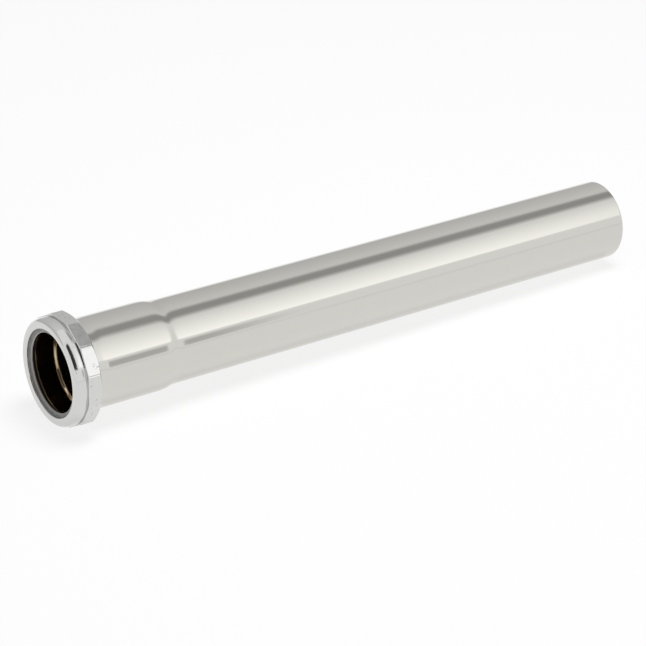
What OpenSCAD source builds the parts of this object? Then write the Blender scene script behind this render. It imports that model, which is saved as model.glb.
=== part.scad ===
// Drain extension tube with a slip-joint socket, its screwed nut and the sealing ring inside it.
// Millimetres. The tube lies along +X, +Z is up, and the origin is the centre of the tube's mouth.

/* [Tube] */
// Length of the tube, from its mouth to its plain end
tube_length = 304.8; // [150:0.1:610]
// Outside diameter of the straight run
tube_od = 38.1; // [36.5:0.1:38.2]
// Wall of the straight run
tube_wall = 1.14; // [0.7:0.01:1.5]
// Broken edge round the plain end's cut
cut_edge = 0.2; // [0.05:0.05:0.3]

/* [Socket] */
// Inside diameter of the bell that takes the next tube
bell_id = 38.4; // [38.3:0.05:39]
// Wall of the bell, thinner where the tube was stretched
bell_wall = 1.05; // [0.7:0.01:1.4]
// Depth of the bell's straight bore
socket_depth = 44.2; // [30:0.1:80]
// Length of the rounded shoulder from the bell down to the straight run
shoulder_length = 8.4; // [6:0.1:20]

/* [Threaded mouth] */
// Diameter over the thread's crests
thread_od = 42.6; // [41.5:0.1:42.8]
// Full thread, from the mouth to where the mouth starts to narrow to the bell
thread_length = 6; // [5:0.1:8]
// Length of the rounded step from the thread down to the bell
flare_length = 9.5; // [5:0.5:14]
// Lead-in chamfer at the mouth
mouth_chamfer = 0.5; // [0.1:0.1:0.8]

/* [Nut] */
// Length of the nut
nut_length = 12.2; // [10:0.1:14]
// Hole in the nut's lip
nut_hole = 39.6; // [39.4:0.1:40.4]
// Thickness of the lip
lip_thickness = 1.5; // [1.2:0.1:2]
// Diameter of the round collar
collar_od = 48.6; // [48:0.1:49]
// Radius of the collar's front corner
collar_round = 1.9; // [0.8:0.1:2.5]
// Radius of the lip's inner edge
lip_round = 0.5; // [0.2:0.1:0.9]
// Radius of the front face's slight crown
crown_round = 8; // [6:0.5:20]
// Diameter at which the crown stands furthest forward
crown_od = 43.6; // [42:0.1:44.2]
// Distance from the nut's front to the groove behind the collar
groove_start = 5; // [4:0.1:6]
// Width of that groove
groove_width = 0.5; // [0.3:0.1:0.8]
// Depth of that groove
groove_depth = 0.4; // [0.2:0.1:0.6]
// Distance over the corners of the twelve-sided flange
flange_corners = 51.2; // [50.4:0.1:54]
// Bevel on the flange's rear corners
flange_bevel = 1.1; // [0.2:0.1:1.3]
// Clearance round the thread's crests, on the radius
thread_clearance = 0.3; // [0.2:0.05:0.4]

/* [Sealing ring] */
// Thickness of the ring between the nut's lip and the tube's rim
ring_thickness = 2.8; // [2:0.1:4]
// Hole in the ring, a hair under the tube that it grips
ring_id = 38; // [37:0.1:39]
// Clearance round the ring inside the nut, on the radius
ring_clearance = 0.3; // [0.2:0.05:0.4]
// Radius of the ring's edges
ring_round = 0.4; // [0.2:0.1:0.4]

/* [Hidden] */

$fn = 96;
flats = 12;
blend_steps = 8;
round_steps = 6;
past = 1;

tube_r = tube_od / 2;
tube_bore_r = tube_r - tube_wall;
bell_bore_r = bell_id / 2;
bell_r = bell_bore_r + bell_wall;
thread_r = thread_od / 2;
flare_end = thread_length + flare_length;
shoulder_end = socket_depth + shoulder_length;

nut_bore_r = thread_r + thread_clearance;
hole_r = nut_hole / 2;
collar_r = collar_od / 2;
groove_end = groove_start + groove_width;
crown_r = crown_od / 2;
corner_r = flange_corners / 2;
ring_r = nut_bore_r - ring_clearance;
nut_front = -lip_thickness - ring_thickness;

// Points of a smooth step from one radius to another, after its first point
function blend(z0, r0, z1, r1) = [
    for (i = [1:blend_steps])
        let (t = i / blend_steps)
        [r0 + (r1 - r0) * (1 - cos(180 * t)) / 2, z0 + (z1 - z0) * t]
];

// Points of a rounded corner, about its centre
function corner(r, z, radius, from, to) = [
    for (i = [0:round_steps])
        let (angle = from + (to - from) * i / round_steps)
        [r + radius * cos(angle), z + radius * sin(angle)]
];

// Turns a section of radius and length round the X axis, from the given place
module turned(x) {
    translate([x, 0, 0])
        rotate([0, 90, 0])
            rotate_extrude()
                children();
}

// One wall: the outside from the mouth to the plain end, then the inside back again
module tube_section() {
    outside = concat(
        [[thread_r - mouth_chamfer, 0], [thread_r, mouth_chamfer], [thread_r, thread_length]],
        blend(thread_length, thread_r, flare_end, bell_r),
        [[bell_r, socket_depth]],
        blend(socket_depth, bell_r, shoulder_end, tube_r),
        [[tube_r, tube_length - cut_edge], [tube_r - cut_edge, tube_length]]
    );
    inside = concat(
        [[tube_bore_r + cut_edge, tube_length], [tube_bore_r, tube_length - cut_edge]],
        [[tube_bore_r, shoulder_end]],
        blend(shoulder_end, tube_bore_r, socket_depth, bell_bore_r),
        [[bell_bore_r, 0]]
    );
    polygon(concat(outside, inside));
}

module extension_tube() {
    color("gainsboro")
        turned(0) tube_section();
}

// How far the crowned face has turned where a rounded edge of this centre and radius meets it
function crown_turn(r, radius) = asin((r - crown_r) / (crown_round - radius));

// Points of a rounded edge that runs smoothly into the crowned face, from or to the given side
function crowned_edge(r, radius, from, to) =
    corner(r, crown_round - (crown_round - radius) * cos(crown_turn(r, radius)), radius, from, to);

// The lip, the crowned front, the round collar and the groove behind it, as far as the nut's rear
module collar_section() {
    lip_r = hole_r + lip_round;
    edge_r = collar_r - collar_round;
    lip_turn = 270 + crown_turn(lip_r, lip_round);
    edge_turn = 270 + crown_turn(edge_r, collar_round);
    crown = corner(crown_r, crown_round, crown_round, lip_turn, edge_turn);
    floor_r = collar_r - groove_depth;
    polygon(concat(
        crowned_edge(lip_r, lip_round, 180, lip_turn),
        [for (i = [1:round_steps - 1]) crown[i]],
        crowned_edge(edge_r, collar_round, edge_turn, 360),
        [[collar_r, groove_start], [floor_r, groove_start + groove_width / 2]],
        [[floor_r, nut_length], [hole_r, nut_length]]
    ));
}

// A cone that narrows at 45 degrees towards the rear, which takes the sharp corners off the flange
module bevel_section() {
    polygon([
        [0, groove_end], [corner_r + past, groove_end],
        [corner_r + past, nut_length - flange_bevel - past],
        [corner_r - flange_bevel, nut_length], [0, nut_length]
    ]);
}

module flange() {
    intersection() {
        translate([nut_front + groove_end, 0, 0])
            rotate([0, 90, 0])
                rotate([0, 0, 180 / flats])
                    cylinder(r = corner_r, h = nut_length - groove_end, $fn = flats);
        turned(nut_front) bevel_section();
    }
}

module slip_nut() {
    color("silver")
        difference() {
            union() {
                turned(nut_front) collar_section();
                flange();
            }
            translate([nut_front + lip_thickness, 0, 0])
                rotate([0, 90, 0])
                    cylinder(r = nut_bore_r, h = nut_length - lip_thickness + past);
        }
}

module ring_section() {
    inner = ring_id / 2;
    polygon(concat(
        corner(inner + ring_round, ring_round, ring_round, 180, 270),
        corner(ring_r - ring_round, ring_round, ring_round, 270, 360),
        corner(ring_r - ring_round, ring_thickness - ring_round, ring_round, 0, 90),
        corner(inner + ring_round, ring_thickness - ring_round, ring_round, 90, 180)
    ));
}

module slip_washer() {
    color("dimgray")
        turned(-ring_thickness) ring_section();
}

extension_tube();
slip_nut();
slip_washer();
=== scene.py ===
import math

import bpy
from mathutils import Matrix, Vector


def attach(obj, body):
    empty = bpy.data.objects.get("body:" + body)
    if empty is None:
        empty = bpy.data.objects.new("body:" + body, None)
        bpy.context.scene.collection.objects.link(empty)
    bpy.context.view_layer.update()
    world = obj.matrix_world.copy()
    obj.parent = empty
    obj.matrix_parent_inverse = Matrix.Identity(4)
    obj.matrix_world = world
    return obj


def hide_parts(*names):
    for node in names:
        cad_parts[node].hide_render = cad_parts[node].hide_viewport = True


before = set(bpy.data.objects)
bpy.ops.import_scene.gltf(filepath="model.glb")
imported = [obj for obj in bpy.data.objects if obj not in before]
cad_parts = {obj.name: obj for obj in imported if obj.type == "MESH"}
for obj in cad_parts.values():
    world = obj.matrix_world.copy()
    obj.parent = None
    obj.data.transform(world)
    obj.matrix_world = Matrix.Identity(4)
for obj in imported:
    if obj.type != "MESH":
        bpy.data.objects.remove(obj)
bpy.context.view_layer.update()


# Extension tube. A length of drawn brass tube, chrome plated outside and left bare inside. One
# end is swaged out into a bell with a rounded shoulder, and a thread is rolled at its mouth.
# Lengths are in millimetres from the mouth, and MM brings them to metres.

MM = 0.001
TUBE_SEGMENTS = 256
TUBE_LENGTH = 304.8
TUBE_RADIUS = 19.05
TUBE_BORE = 17.91
BELL_RADIUS = 20.25
BELL_BORE = 19.2
SHOULDER_MIDDLE = 48.4
SHOULDER_SOFTNESS = 2.6
SHOULDER_REACH = 4
SHOULDER_RINGS = 40
FLARE_START = 6.0
FLARE_END = 15.5
CUT_EDGE = 0.2
EDGE_KEEP = 0.6

MOUTH_BORE = 19.85
MOUTH_STEP_START = 9.0
MOUTH_STEP_END = 10.9
RIM_ROUND = 0.3

THREAD_PITCH = 2.2087
THREAD_CREST = 21.3
THREAD_ROOT = 20.4
THREAD_START = 0.5
THREAD_END = 7.5
THREAD_RUNOUT = 0.9
THREAD_RINGS = 54


def s_curve(start, end, steps):
    """Points after start of a rounded step from one (place, radius) to another."""
    points = []
    for i in range(1, steps + 1):
        t = i / steps
        rise = (1 - math.cos(math.pi * t)) / 2
        points.append((start[0] + (end[0] - start[0]) * t, start[1] + (end[1] - start[1]) * rise))
    return points


def shoulder(wide, narrow):
    """Points of the drawn shoulder, whose two ends fade softly into the bell and the run."""
    points = []
    for i in range(SHOULDER_RINGS + 1):
        t = SHOULDER_REACH * (2 * i / SHOULDER_RINGS - 1)
        radius = narrow + (wide - narrow) * (1 - math.tanh(t)) / 2
        points.append((SHOULDER_MIDDLE + SHOULDER_SOFTNESS * t, radius))
    return points


def round_corner(centre, radius, start, end, steps):
    """Points of a rounded corner, by angle from the radial direction towards the plain end."""
    points = []
    for i in range(steps + 1):
        angle = math.radians(start + (end - start) * i / steps)
        points.append((centre[0] + radius * math.sin(angle), centre[1] + radius * math.cos(angle)))
    return points


def pull_round_section(name, section, segments):
    """A rim is drawn round the axis and pulled along the section until it meets itself again."""
    bpy.ops.object.select_all(action="DESELECT")
    place, radius = section[0]
    bpy.ops.mesh.primitive_circle_add(
        vertices=segments,
        radius=radius * MM,
        location=(place * MM, 0, 0),
        rotation=(0, math.pi / 2, 0),
    )
    piece = bpy.context.active_object
    piece.name = name
    piece.data.name = name
    bpy.ops.object.transform_apply(location=True, rotation=True, scale=True)
    bpy.ops.object.mode_set(mode="EDIT")
    bpy.ops.mesh.select_mode(type="EDGE")
    bpy.ops.mesh.select_all(action="SELECT")
    for next_place, next_radius in section[1:] + section[:1]:
        step = (next_place - place) * MM
        bpy.ops.mesh.extrude_region_move(TRANSFORM_OT_translate={"value": (step, 0, 0)})
        spread = next_radius / radius
        if spread != 1:
            bpy.ops.transform.resize(
                value=(1, spread, spread), center_override=(next_place * MM, 0, 0)
            )
        place, radius = next_place, next_radius
    bpy.ops.mesh.select_all(action="SELECT")
    bpy.ops.mesh.remove_doubles(threshold=0.004 * MM)
    bpy.ops.mesh.normals_make_consistent(inside=False)
    bpy.ops.object.mode_set(mode="OBJECT")
    return piece


def smooth_step(low, high, value):
    """0 up to low and 1 from high on, with a soft rise between."""
    t = min(1.0, max(0.0, (value - low) / (high - low)))
    return t * t * (3 - 2 * t)


def thread_ridge(x, angle):
    """0 in the root and 1 on the crest of the right-hand thread round the X axis."""
    turn = x / THREAD_PITCH - angle / (2 * math.pi)
    return smooth_step(-0.75, 0.55, math.cos(2 * math.pi * turn))


thread_last = THREAD_END + THREAD_RUNOUT
flare = s_curve((FLARE_START, THREAD_CREST), (FLARE_END, BELL_RADIUS), 24)
mouth = []
for i in range(THREAD_RINGS + 1):
    x = THREAD_START + (thread_last - THREAD_START) * i / THREAD_RINGS
    t = max(0.0, (x - FLARE_START) / (FLARE_END - FLARE_START))
    mouth.append((x, THREAD_CREST - (THREAD_CREST - BELL_RADIUS) * (1 - math.cos(math.pi * t)) / 2))
tube_end = TUBE_LENGTH - CUT_EDGE
tube_section = (
    [(0.1, THREAD_CREST - 0.5), (0.25, THREAD_CREST - 0.3)]
    + mouth
    + [point for point in flare if point[0] > thread_last + 0.1]
    + [(FLARE_END + EDGE_KEEP, BELL_RADIUS)]
    + shoulder(BELL_RADIUS, TUBE_RADIUS)
    + [(tube_end - EDGE_KEEP, TUBE_RADIUS)]
    + round_corner((tube_end, TUBE_RADIUS - CUT_EDGE), CUT_EDGE, 0, 90, 3)
    + round_corner((tube_end, TUBE_BORE + CUT_EDGE), CUT_EDGE, 90, 180, 3)
    + [(tube_end - EDGE_KEEP, TUBE_BORE)]
    + shoulder(BELL_BORE, TUBE_BORE)[::-1]
    + [(MOUTH_STEP_END + EDGE_KEEP, BELL_BORE), (MOUTH_STEP_END, BELL_BORE)]
    + s_curve((MOUTH_STEP_END, BELL_BORE), (MOUTH_STEP_START, MOUTH_BORE), 12)
    + [(MOUTH_STEP_START - EDGE_KEEP, MOUTH_BORE), (RIM_ROUND + EDGE_KEEP, MOUTH_BORE)]
    + round_corner((RIM_ROUND, MOUTH_BORE + RIM_ROUND), RIM_ROUND, 180, 270, 3)
    + [(0.0, THREAD_CREST - 0.7)]
)
tube = pull_round_section("extension_tube_plated", tube_section, TUBE_SEGMENTS)

for vertex in tube.data.vertices:
    x, y, z = (value / MM for value in vertex.co)
    radius = math.hypot(y, z)
    if radius < THREAD_ROOT or x > thread_last:
        continue
    start = smooth_step(0.0, 0.9, x)
    runout = 1 - smooth_step(THREAD_END - 0.2, thread_last, x)
    groove = 1 - thread_ridge(x, math.atan2(z, y))
    cut = (radius - THREAD_ROOT) * groove * start * runout
    vertex.co.y *= (radius - cut) / radius
    vertex.co.z *= (radius - cut) / radius


def add_node(tree, kind, inputs=None, **settings):
    """A shader node with its settings, and its inputs set to values or joined to outputs."""
    node = tree.nodes.new(kind)
    for key, value in settings.items():
        setattr(node, key, value)
    for key, value in (inputs or {}).items():
        if isinstance(value, bpy.types.NodeSocket):
            tree.links.new(value, node.inputs[key])
        else:
            node.inputs[key].default_value = value
    return node


def calculate(tree, operation, *values):
    """The output of a Math node over numbers or other outputs."""
    return add_node(tree, "ShaderNodeMath", dict(enumerate(values)), operation=operation).outputs[0]


def rescale(tree, value, low, high, new_low, new_high, kind="LINEAR"):
    """A value brought from one span to another and held inside it."""
    inputs = {0: value, 1: low, 2: high, 3: new_low, 4: new_high}
    return add_node(tree, "ShaderNodeMapRange", inputs, interpolation_type=kind).outputs[0]


def noise(tree, place, stretch, scale, detail):
    """Noise whose grain is drawn out along an axis where its stretch is under 1."""
    drawn = add_node(tree, "ShaderNodeMapping", {"Vector": place, "Scale": stretch})
    inputs = {"Vector": drawn.outputs[0], "Scale": scale, "Detail": detail}
    return add_node(tree, "ShaderNodeTexNoise", inputs).outputs[0]


def new_group(name, inputs, outputs):
    """An empty node group with its named inputs and number outputs."""
    group = bpy.data.node_groups.new(name, "ShaderNodeTree")
    group.interface.new_socket("Position", in_out="INPUT", socket_type="NodeSocketVector")
    for label, value in inputs.items():
        made = group.interface.new_socket(label, in_out="INPUT", socket_type="NodeSocketFloat")
        made.default_value = value
    for label in outputs:
        group.interface.new_socket(label, in_out="OUTPUT", socket_type="NodeSocketFloat")
    return group, group.nodes.new("NodeGroupInput").outputs, group.nodes.new("NodeGroupOutput").inputs


def new_material(name):
    """A material with its shader and the object's own coordinates."""
    material = bpy.data.materials.new(name)
    material.use_nodes = True
    tree = material.node_tree
    place = tree.nodes.new("ShaderNodeTexCoord").outputs["Object"]
    return material, tree, tree.nodes["Principled BSDF"], place


# Drawing and buffing leave fine lines along the metal and a slow swell in its reflections.
drawn_finish, given, result = new_group(
    "drawn_finish",
    {"Roughness": 0.06, "Roughness Spread": 0.05, "Line Depth": 0.2, "Swell Depth": 0.5},
    ["Roughness", "Height"],
)
lines = noise(drawn_finish, given["Position"], (0.02, 1, 1), 2600, 3)
swell = noise(drawn_finish, given["Position"], (0.25, 1, 1), 70, 1)
smudge = noise(drawn_finish, given["Position"], (0.3, 1, 1), 160, 3)
line_height = calculate(drawn_finish, "MULTIPLY", lines, given["Line Depth"])
height = calculate(drawn_finish, "MULTIPLY_ADD", swell, given["Swell Depth"], line_height)
patchy = calculate(drawn_finish, "MULTIPLY", lines, smudge)
rough = calculate(drawn_finish, "MULTIPLY_ADD", patchy, given["Roughness Spread"], given["Roughness"])
drawn_finish.links.new(rough, result["Roughness"])
drawn_finish.links.new(height, result["Height"])

tube_chrome, tree, shader, place = new_material("tube_chrome_plate")
finish = add_node(
    tree,
    "ShaderNodeGroup",
    {
        "Position": place,
        "Roughness": 0.05,
        "Roughness Spread": 0.12,
        "Line Depth": 0.03,
        "Swell Depth": 0.5,
    },
    node_tree=drawn_finish,
)
bump = add_node(tree, "ShaderNodeBump", {"Height": finish.outputs["Height"], "Distance": 0.00002})
shader.inputs["Metallic"].default_value = 1
shader.inputs["Base Color"].default_value = (0.62, 0.61, 0.57, 1)
tree.links.new(finish.outputs["Roughness"], shader.inputs["Roughness"])
tree.links.new(bump.outputs["Normal"], shader.inputs["Normal"])

bare_brass, tree, shader, place = new_material("tube_bare_brass")
finish = add_node(
    tree,
    "ShaderNodeGroup",
    {
        "Position": place,
        "Roughness": 0.09,
        "Roughness Spread": 0.12,
        "Line Depth": 0.1,
        "Swell Depth": 0.4,
    },
    node_tree=drawn_finish,
)
bump = add_node(tree, "ShaderNodeBump", {"Height": finish.outputs["Height"], "Distance": 0.00002})
tarnish = noise(tree, place, (0.5, 1, 1), 90, 5)
tarnish_colour = add_node(tree, "ShaderNodeValToRGB", {"Fac": tarnish})
tarnish_colour.color_ramp.elements[0].position = 0.35
tarnish_colour.color_ramp.elements[0].color = (0.42, 0.31, 0.18, 1)
tarnish_colour.color_ramp.elements[1].position = 0.65
tarnish_colour.color_ramp.elements[1].color = (0.84, 0.73, 0.54, 1)
shader.inputs["Metallic"].default_value = 1
tree.links.new(tarnish_colour.outputs["Color"], shader.inputs["Base Color"])
tree.links.new(finish.outputs["Roughness"], shader.inputs["Roughness"])
tree.links.new(bump.outputs["Normal"], shader.inputs["Normal"])

tube.data.materials.append(tube_chrome)
tube.data.materials.append(bare_brass)
for face in tube.data.polygons:
    outwards = face.normal.y * face.center.y + face.normal.z * face.center.z
    face.material_index = 1 if outwards < 0 else 0
bpy.ops.object.shade_smooth_by_angle(angle=math.radians(40))
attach(tube, "tube")
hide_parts("extension_tube")


# Slip nut. A cast nut, chrome plated, with a round collar in front and a twelve-sided flange
# behind it. Its lip holds the sealing ring, and its thread runs on the tube's mouth. The collar
# and the crowned front are buffed, and the flats are left as they came from the casting.

NUT_FRONT = -4.3
NUT_REAR = 7.9
NUT_HOLE = 19.8
LIP_REAR = -2.8
LIP_ROUND = 0.5
CROWN_ROUND = 8.0
CROWN_RADIUS = 21.8
COLLAR_RADIUS = 24.3
COLLAR_ROUND = 1.9
COLLAR_TURN = 72
BARREL_ROUND = 8.7
BARREL_TURN = 95
GROOVE_START = 0.7
GROOVE_END = 1.2
GROOVE_FLOOR = 23.9
FLATS = 12
FLAT_SEGMENTS = 24
FLAT_RADIUS = 24.725
FLANGE_CORNER = 0.6
FLANGE_EDGE = 0.3
BEVEL_FACE = 24.5
BEVEL_EDGE = 0.25
REAR_EDGE = 0.12
HOLD = 0.1
NUT_BORE = 21.6
NUT_THREAD_RADIUS = 20.8
NUT_THREAD_START = 0.4
NUT_THREAD_END = 7.0
NUT_RINGS = 54
NUT_COLOUR = (0.64, 0.64, 0.63, 1)
PIT_COLOUR = (0.16, 0.15, 0.13, 1)
GRAIN_DEPTH = 0.25


def crowned_corner(radius_at, radius, start, end, steps):
    """A rounded corner that runs smoothly into the crown of the nut's front face."""
    turn = math.asin((radius_at - CROWN_RADIUS) / (CROWN_ROUND - radius))
    place = NUT_FRONT + CROWN_ROUND - (CROWN_ROUND - radius) * math.cos(turn)
    turn = math.degrees(turn)
    first = turn - 90 if start is None else start
    last = turn + 270 if end is None else end
    return turn, round_corner((place, radius_at), radius, first, last, steps)


barrel_drop = BARREL_ROUND * (1 - math.sin(math.radians(COLLAR_TURN)))
edge_radius = COLLAR_RADIUS - barrel_drop - COLLAR_ROUND * math.sin(math.radians(COLLAR_TURN))
lip_turn, lip_edge = crowned_corner(NUT_HOLE + LIP_ROUND, LIP_ROUND, 180, None, 6)
edge_turn, collar_edge = crowned_corner(edge_radius, COLLAR_ROUND, None, COLLAR_TURN - 90, 14)
crown = round_corner((NUT_FRONT + CROWN_ROUND, CROWN_RADIUS), CROWN_ROUND, lip_turn - 90, edge_turn - 90, 8)
barrel_place = collar_edge[-1][0] + BARREL_ROUND * math.cos(math.radians(COLLAR_TURN))
barrel = round_corner(
    (barrel_place, COLLAR_RADIUS - BARREL_ROUND), BARREL_ROUND, COLLAR_TURN - 90, BARREL_TURN - 90, 10
)
collar_rear = [point for point in barrel if point[0] < GROOVE_START - 0.15]
cone = BEVEL_FACE + NUT_REAR
flat_end = cone - FLAT_RADIUS + BEVEL_EDGE * (1 - math.sqrt(2))
rear_edge = cone - NUT_REAR + REAR_EDGE * (1 - math.sqrt(2))
flange = (
    [(GROOVE_END, GROOVE_FLOOR), (GROOVE_END, FLAT_RADIUS - FLANGE_EDGE - HOLD)]
    + round_corner((GROOVE_END + FLANGE_EDGE, FLAT_RADIUS - FLANGE_EDGE), FLANGE_EDGE, -90, 0, 5)
    + [(GROOVE_END + FLANGE_EDGE + HOLD, FLAT_RADIUS), (flat_end - HOLD, FLAT_RADIUS)]
    + round_corner((flat_end, FLAT_RADIUS - BEVEL_EDGE), BEVEL_EDGE, 0, 45, 4)
)
flange_rear = round_corner((NUT_REAR - REAR_EDGE, rear_edge), REAR_EDGE, 45, 90, 3)
nut_thread = []
for i in range(NUT_RINGS + 1):
    nut_thread.append(((NUT_REAR - 0.5) * (1 - i / NUT_RINGS), NUT_BORE))
nut_section = (
    [(LIP_REAR, NUT_HOLE)]
    + lip_edge
    + crown[1:-1]
    + collar_edge
    + collar_rear[1:]
    + [(GROOVE_START, COLLAR_RADIUS - 0.15), (GROOVE_START + 0.15, GROOVE_FLOOR)]
    + flange
    + flange_rear
    + [(NUT_REAR, NUT_BORE + 0.5)]
    + nut_thread
    + [(LIP_REAR, NUT_BORE)]
)
nut = pull_round_section("slip_nut_plated", nut_section, FLATS * FLAT_SEGMENTS)


def flat_reach(angle):
    """How far the rounded twelve-sided outline lies outside the circle within it, by angle."""
    half = math.pi / FLATS
    off = abs((angle + half) % (2 * half) - half)
    straight = FLAT_RADIUS / math.cos(off)
    arc_centre = (FLAT_RADIUS - FLANGE_CORNER) / math.cos(half)
    gap = half - off
    inside = FLANGE_CORNER**2 - (arc_centre * math.sin(gap)) ** 2
    if inside <= 0:
        return straight - FLAT_RADIUS
    return min(straight, arc_centre * math.cos(gap) + math.sqrt(inside)) - FLAT_RADIUS


for vertex in nut.data.vertices:
    x, y, z = (value / MM for value in vertex.co)
    radius = math.hypot(y, z)
    half = math.pi / FLATS
    angle = math.atan2(z, y)
    off = (angle + half) % (2 * half) - half
    crowded = half * (1 - (1 - abs(off) / half) ** 2)
    angle += math.copysign(crowded, off) - off
    if radius > FLAT_RADIUS - FLANGE_EDGE - HOLD / 2 and GROOVE_END - 0.01 < x < NUT_REAR - REAR_EDGE:
        reach = flat_reach(angle)
        radius += reach
        if x > flat_end - 1.5 * HOLD:
            x -= reach
    elif radius < NUT_BORE + 0.01 and x > -0.01:
        inner = smooth_step(NUT_THREAD_START - 0.3, NUT_THREAD_START + 0.3, x)
        outer = 1 - smooth_step(NUT_THREAD_END - 0.6, NUT_THREAD_END + 0.4, x)
        ridge = smooth_step(0.45, 1.0, 1 - thread_ridge(x, angle))
        radius -= (NUT_BORE - NUT_THREAD_RADIUS) * ridge * inner * outer
    vertex.co = (x * MM, radius * math.cos(angle) * MM, radius * math.sin(angle) * MM)

# Small pits in patches, and the slight orange peel that plating over a casting shows.
cast_skin, given, result = new_group(
    "cast_skin",
    {"Pit Scale": 900, "Pit Depth": 0.5, "Peel Depth": 0.5, "Pitted Share": 0.5},
    ["Pits", "Height"],
)
inputs = {"Vector": given["Position"], "Scale": given["Pit Scale"]}
pit_cells = add_node(cast_skin, "ShaderNodeTexVoronoi", inputs, feature="F1")
pit_shape = rescale(cast_skin, pit_cells.outputs["Distance"], 0.12, 0.3, 1.0, 0.0)
patches = noise(cast_skin, given["Position"], (1, 1, 1), 330, 2)
pits = calculate(
    cast_skin, "MULTIPLY", pit_shape, calculate(cast_skin, "LESS_THAN", patches, given["Pitted Share"])
)
peel = noise(cast_skin, given["Position"], (1, 1, 1), 420, 2)
sunk = calculate(cast_skin, "MULTIPLY", pits, given["Pit Depth"])
peeled = calculate(cast_skin, "MULTIPLY", peel, given["Peel Depth"])
cast_skin.links.new(pits, result["Pits"])
cast_skin.links.new(calculate(cast_skin, "SUBTRACT", peeled, sunk), result["Height"])

nut_chrome, tree, shader, place = new_material("nut_chrome_plate")
skin = add_node(
    tree,
    "ShaderNodeGroup",
    {"Position": place, "Pit Scale": 1100, "Pit Depth": 1.0, "Peel Depth": 0.35, "Pitted Share": 0.44},
    node_tree=cast_skin,
)
apart = add_node(tree, "ShaderNodeSeparateXYZ", {0: place})
flange_share = rescale(tree, apart.outputs["X"], GROOVE_END * MM, (GROOVE_END + 0.2) * MM, 0, 1)
grain = noise(tree, place, (12, 1, 1), 420, 3)
grain_height = calculate(tree, "MULTIPLY", grain, flange_share)
nut_height = calculate(tree, "MULTIPLY_ADD", grain_height, GRAIN_DEPTH, skin.outputs["Height"])
bump = add_node(tree, "ShaderNodeBump", {"Height": nut_height, "Distance": 0.00004})
haze = noise(tree, place, (1, 1, 1), 500, 4)
collar_rough = rescale(tree, haze, 0.3, 0.7, 0.05, 0.12)
nut_rough = calculate(tree, "MULTIPLY_ADD", flange_share, 0.06, collar_rough)
pitted = calculate(tree, "MULTIPLY", skin.outputs["Pits"], flange_share)
nut_colour = add_node(tree, "ShaderNodeMix", {"Factor": pitted}, data_type="RGBA")
nut_colour.inputs[6].default_value = NUT_COLOUR
nut_colour.inputs[7].default_value = PIT_COLOUR
shader.inputs["Metallic"].default_value = 1
tree.links.new(nut_colour.outputs[2], shader.inputs["Base Color"])
tree.links.new(nut_rough, shader.inputs["Roughness"])
tree.links.new(bump.outputs["Normal"], shader.inputs["Normal"])
nut.data.materials.append(nut_chrome)
bpy.ops.object.shade_smooth_by_angle(angle=math.radians(32))
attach(nut, "nut")
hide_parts("slip_nut")


# Sealing ring. A moulded ring of grey rubber, loose between the nut's lip and the tube's rim
# until the nut is tightened. The thin lip round its hole grips the tube that is pushed in through
# it, and behind the lip is a recess. The pale edge of the lip is a painted highlight, and the
# recess is coloured near black as painted shade.

RING_FRONT = -2.8
RING_REAR = 0.0
RING_HOLE = 17.9
RING_LIP = 0.5
RING_RECESS = 19.3
RING_RADIUS = 21.3
RING_ROUND = 0.4
RING_SHOULDER = 0.9
# Painted highlight: the pale colour round the inner edge of the lip.
RING_PAINTED_HIGHLIGHT_COLOUR = (0.62, 0.62, 0.60, 1)
# Painted shade: the near-black colour of the recess behind the lip.
RING_PAINTED_SHADE_COLOUR = (0.02, 0.02, 0.02, 1)

ring_section = (
    round_corner((RING_FRONT + RING_LIP, RING_HOLE + RING_LIP), RING_LIP, 90, 270, 12)
    + round_corner((RING_FRONT + RING_SHOULDER, RING_RADIUS - RING_SHOULDER), RING_SHOULDER, -90, 0, 8)
    + round_corner((RING_REAR - RING_ROUND, RING_RADIUS - RING_ROUND), RING_ROUND, 0, 90, 5)
    + [(RING_REAR, RING_RECESS), (RING_FRONT + 3 * RING_LIP, RING_RECESS)]
)
ring = pull_round_section("sealing_ring_rubber", ring_section, 192)

ring_rubber, tree, shader, place = new_material("ring_grey_rubber")
skin = add_node(
    tree,
    "ShaderNodeGroup",
    {"Position": place, "Pit Scale": 2600, "Pit Depth": 0.4, "Peel Depth": 0.4, "Pitted Share": 0.5},
    node_tree=cast_skin,
)
bump = add_node(tree, "ShaderNodeBump", {"Height": skin.outputs["Height"], "Distance": 0.00006})
bloom = add_node(tree, "ShaderNodeValToRGB", {"Fac": noise(tree, place, (1, 1, 1), 260, 5)})
bloom.color_ramp.elements[0].position = 0.3
bloom.color_ramp.elements[0].color = (0.24, 0.24, 0.24, 1)
bloom.color_ramp.elements[1].position = 0.7
bloom.color_ramp.elements[1].color = (0.36, 0.36, 0.355, 1)
apart = add_node(tree, "ShaderNodeSeparateXYZ", {0: place}).outputs
# Painted shade: from the rear of the lip on back, the ring is coloured near black.
painted_shade_start = (RING_FRONT + 2 * RING_LIP) * MM
painted_shade_share = rescale(tree, apart["X"], painted_shade_start - 0.1 * MM, painted_shade_start + 0.1 * MM, 0, 1)
across = add_node(tree, "ShaderNodeVectorMath", {0: place, 1: (0, 1, 1)}, operation="MULTIPLY")
reach = add_node(tree, "ShaderNodeVectorMath", {0: across.outputs[0]}, operation="LENGTH").outputs["Value"]
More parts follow.
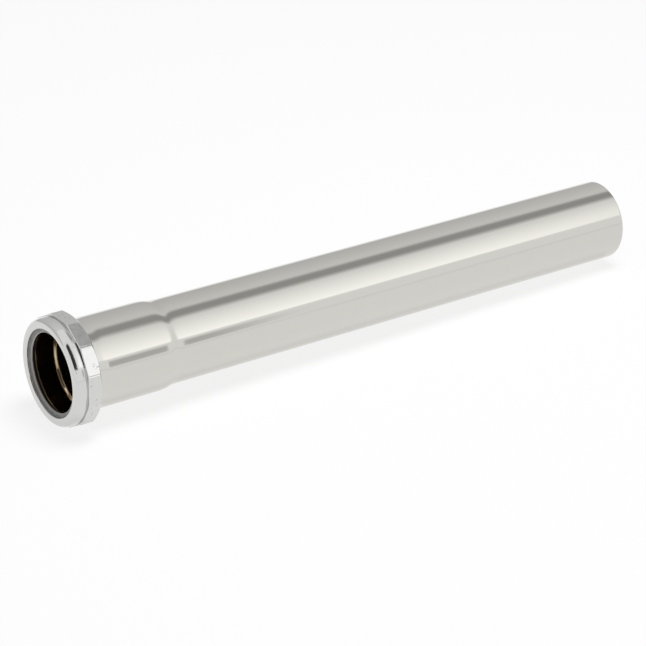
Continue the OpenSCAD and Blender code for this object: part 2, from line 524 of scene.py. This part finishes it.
# Painted highlight: the rubber turns pale round the inner edge of the lip.
painted_highlight_start = (RING_HOLE + 0.6 * RING_LIP) * MM
painted_highlight_share = rescale(tree, reach, painted_highlight_start - 0.1 * MM, painted_highlight_start + 0.1 * MM, 1, 0)
bloom_with_painted_highlight = add_node(tree, "ShaderNodeMix", {"Factor": painted_highlight_share}, data_type="RGBA")
tree.links.new(bloom.outputs["Color"], bloom_with_painted_highlight.inputs[6])
bloom_with_painted_highlight.inputs[7].default_value = RING_PAINTED_HIGHLIGHT_COLOUR
ring_colour = add_node(tree, "ShaderNodeMix", {"Factor": painted_shade_share}, data_type="RGBA")
tree.links.new(bloom_with_painted_highlight.outputs[2], ring_colour.inputs[6])
ring_colour.inputs[7].default_value = RING_PAINTED_SHADE_COLOUR
tree.links.new(ring_colour.outputs[2], shader.inputs["Base Color"])
tree.links.new(bump.outputs["Normal"], shader.inputs["Normal"])
shader.inputs["Roughness"].default_value = 0.45
ring.data.materials.append(ring_rubber)
bpy.ops.object.shade_smooth_by_angle(angle=math.radians(40))
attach(ring, "ring")
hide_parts("slip_washer")


# Floor. White paper, on which the tube lies on a flat of the nut and on its plain end's rim, so it
# slopes by about a degree to the tube. The camera and the metal both see it white, and it keeps the
# tube's soft shadow.

PAPER_COLOUR = (0.9, 0.89, 0.87, 1)
SHOWN_COLOUR = (0.2, 0.2, 0.2, 1)
SHOWN_GLOW = 0.8

rest_at_nut = (flat_end, -FLAT_RADIUS)
rest_at_rim = (tube_end, -TUBE_RADIUS)
slope = math.atan2(rest_at_rim[1] - rest_at_nut[1], rest_at_rim[0] - rest_at_nut[0])
bpy.ops.object.select_all(action="DESELECT")
bpy.ops.mesh.primitive_plane_add(
    size=30, location=(rest_at_nut[0] * MM, 0, rest_at_nut[1] * MM), rotation=(0, -slope, 0)
)
floor = bpy.context.active_object
floor.name = "floor"


def shown_rays(tree):
    """1 for the rays of the camera and of what metal and glass show, and 0 for the rest."""
    seen_by = tree.nodes.new("ShaderNodeLightPath").outputs
    mirrored = calculate(tree, "MAXIMUM", seen_by["Is Glossy Ray"], seen_by["Is Transmission Ray"])
    return calculate(tree, "MAXIMUM", seen_by["Is Camera Ray"], mirrored)


white_paper, tree, shader, place = new_material("white_paper")
tree.nodes.remove(shader)
shown = shown_rays(tree)
paper_colour = add_node(tree, "ShaderNodeMix", {"Factor": shown}, data_type="RGBA")
paper_colour.inputs[6].default_value = PAPER_COLOUR
paper_colour.inputs[7].default_value = SHOWN_COLOUR
paper = add_node(tree, "ShaderNodeBsdfDiffuse", {"Color": paper_colour.outputs[2]})
glow = add_node(tree, "ShaderNodeEmission", {"Strength": calculate(tree, "MULTIPLY", shown, SHOWN_GLOW)})
both = add_node(tree, "ShaderNodeAddShader", {0: paper.outputs[0], 1: glow.outputs[0]})
tree.links.new(both.outputs[0], tree.nodes["Material Output"].inputs["Surface"])
white_paper.cycles.emission_sampling = "NONE"
floor.data.materials.append(white_paper)


# Studio sheets. Chrome shows only what stands round it, so a few plain sheets hang about the tube,
# where only its reflections show them: a grey one behind, a dark one overhead, a bright diffuser
# in front with a grey strip at its foot, and a black one to the left of the nut.

WHOLE_LENGTH = (-4.0, 4.3)


def hang_sheet(name, direction, spread, distance, levels, soft, span):
    """A flat sheet along the tube, by the angle from straight behind over the top to the front.

    Its level goes from one side to the other, and its ends and sides fade out over the soft shares.
    """
    angle = math.radians(direction)
    first, last = span
    bpy.ops.object.select_all(action="DESELECT")
    bpy.ops.mesh.primitive_plane_add(
        size=1,
        location=((first + last) / 2, distance * math.cos(angle), distance * math.sin(angle)),
        rotation=(angle + math.pi / 2, 0, 0),
    )
    sheet = bpy.context.active_object
    sheet.name = name
    sheet.scale = (last - first, 2 * distance * math.tan(math.radians(spread / 2)), 1)
    sheet.visible_camera = False
    sheet.visible_diffuse = False
    sheet.visible_shadow = False
    sheet.visible_transmission = False

    material, tree, shader, place = new_material(name)
    tree.nodes.remove(shader)
    apart = add_node(tree, "ShaderNodeSeparateXYZ", {0: place}).outputs
    along = calculate(tree, "ABSOLUTE", apart["X"])
    across = calculate(tree, "ABSOLUTE", apart["Y"])
    in_along = rescale(tree, along, 0.5 - soft[0], 0.5, 1, 0, "SMOOTHSTEP")
    in_across = rescale(tree, across, 0.5 - soft[1], 0.5, 1, 0, "SMOOTHSTEP")
    share = calculate(tree, "MULTIPLY", in_along, in_across)
    level = rescale(tree, apart["Y"], -0.5, 0.5, levels[0], levels[1])
    clear = add_node(tree, "ShaderNodeBsdfTransparent")
    light = add_node(tree, "ShaderNodeEmission", {"Strength": level})
    mixed = add_node(tree, "ShaderNodeMixShader", {0: share, 1: clear.outputs[0], 2: light.outputs[0]})
    tree.links.new(mixed.outputs[0], tree.nodes["Material Output"].inputs["Surface"])
    material.cycles.emission_sampling = "NONE"
    sheet.data.materials.append(material)


hang_sheet("grey_sheet_behind", 28, 80, 1.7, (0.5, 0.85), (0.05, 0.05), WHOLE_LENGTH)
hang_sheet("dark_sheet_overhead", 84, 44, 1.4, (0.4, 0.4), (0.05, 0.4), (0.5, 4.3))
hang_sheet("diffuser_in_front", 132, 50, 1.5, (1.0, 1.5), (0.35, 0.08), (0.0, 2.0))
hang_sheet("grey_strip_in_front", 168, 20, 1.45, (0.6, 0.6), (0.3, 0.3), (0.5, 1.0))
hang_sheet("black_sheet_left", 130, 60, 1.2, (0.05, 0.05), (0.1, 0.1), (-1.2, 0.1))


# Room light and camera. Soft white light from all round and one large lamp overhead, at the level
# at which a white card renders white, and a long lens at the photograph's viewing angle.

ROOM_LEVEL = 0.28
LAMP_PLACE = (0.25, -0.16, 1.3)
LAMP_SIZE = 0.6
LAMP_WATTS = 13
LENS = 138.13
CAMERA_PLACE = (-0.4610, -0.8339, 0.4835)
CAMERA_RIGHT = (0.8171, -0.5762, 0.0207)
CAMERA_UP = (0.2357, 0.3666, 0.9000)
CAMERA_BACK = (-0.5262, -0.7305, 0.4353)

world = bpy.data.worlds.new("studio")
bpy.context.scene.world = world
world.use_nodes = True
tree = world.node_tree
tree.nodes.clear()
room_level = rescale(tree, shown_rays(tree), 0, 1, ROOM_LEVEL, 1)
room = add_node(tree, "ShaderNodeBackground", {"Color": (1, 1, 1, 1), "Strength": room_level})
world_out = tree.nodes.new("ShaderNodeOutputWorld")
tree.links.new(room.outputs[0], world_out.inputs["Surface"])

bpy.ops.object.select_all(action="DESELECT")
bpy.ops.object.light_add(type="AREA", location=LAMP_PLACE)
lamp = bpy.context.active_object
lamp.name = "overhead_lamp"
lamp.data.shape = "SQUARE"
lamp.data.size = LAMP_SIZE
lamp.data.energy = LAMP_WATTS
lamp.rotation_euler = Vector(LAMP_PLACE).to_track_quat("Z", "Y").to_euler()
lamp.visible_glossy = False

camera_data = bpy.data.cameras.new("camera")
camera_data.sensor_width = 36
camera_data.lens = LENS
camera_data.clip_start = 0.01
camera_data.clip_end = 100
camera = bpy.data.objects.new("camera", camera_data)
bpy.context.scene.collection.objects.link(camera)
camera.matrix_world = Matrix((CAMERA_RIGHT, CAMERA_UP, CAMERA_BACK)).transposed().to_4x4()
camera.location = CAMERA_PLACE
bpy.context.scene.camera = camera
bpy.context.scene.view_settings.view_transform = "Standard"
